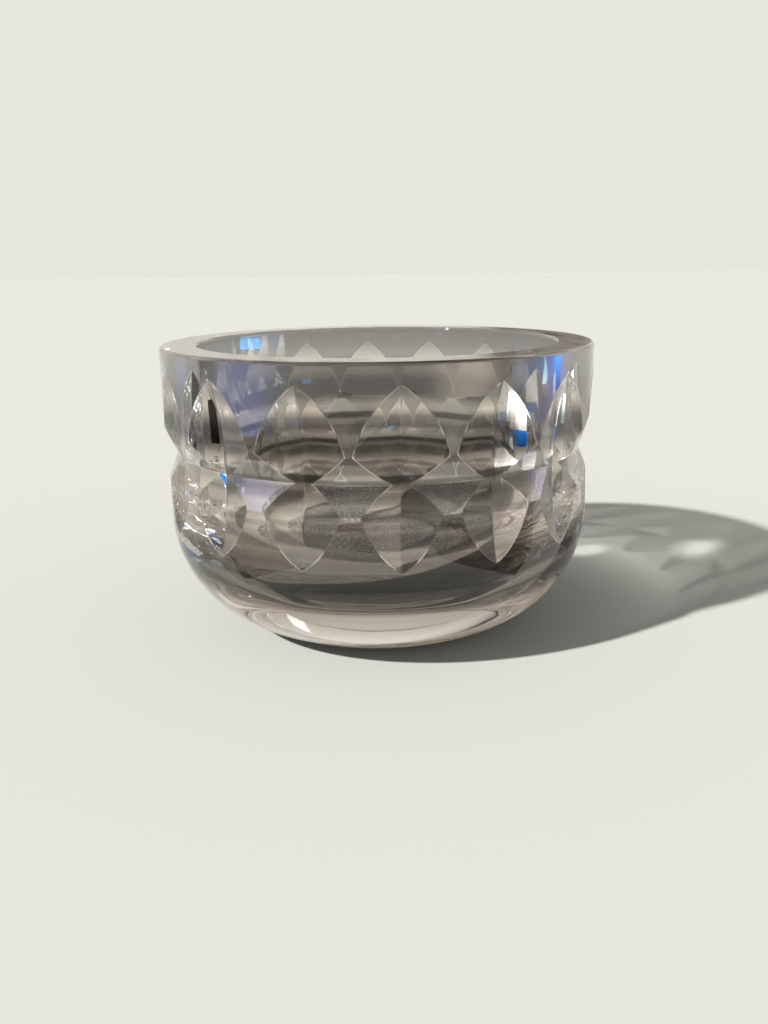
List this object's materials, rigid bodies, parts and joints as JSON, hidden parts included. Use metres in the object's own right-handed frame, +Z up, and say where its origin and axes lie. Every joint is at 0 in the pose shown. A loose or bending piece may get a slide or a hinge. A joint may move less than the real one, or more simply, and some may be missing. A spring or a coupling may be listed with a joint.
{
  "type": "salt cellar",
  "caption": "Small open salt cellar of thick clear cut glass: round bowl on a heavy flat base, upright pointed cuts round its side and a V groove at the waist.",
  "frame": {"origin": "centre of the underside, on the surface that the bowl stands on", "axes": "+Z up along the bowl's own axis, -Y towards the front of the picture, +X to its right"},
  "size_m": [0.06, 0.06, 0.0398],
  "materials": {
    "crystal": "clear cut glass, all faces polished"
  },
  "bodies": {
    "root": {"bowl": "crystal"}
  },
  "joints": []
}
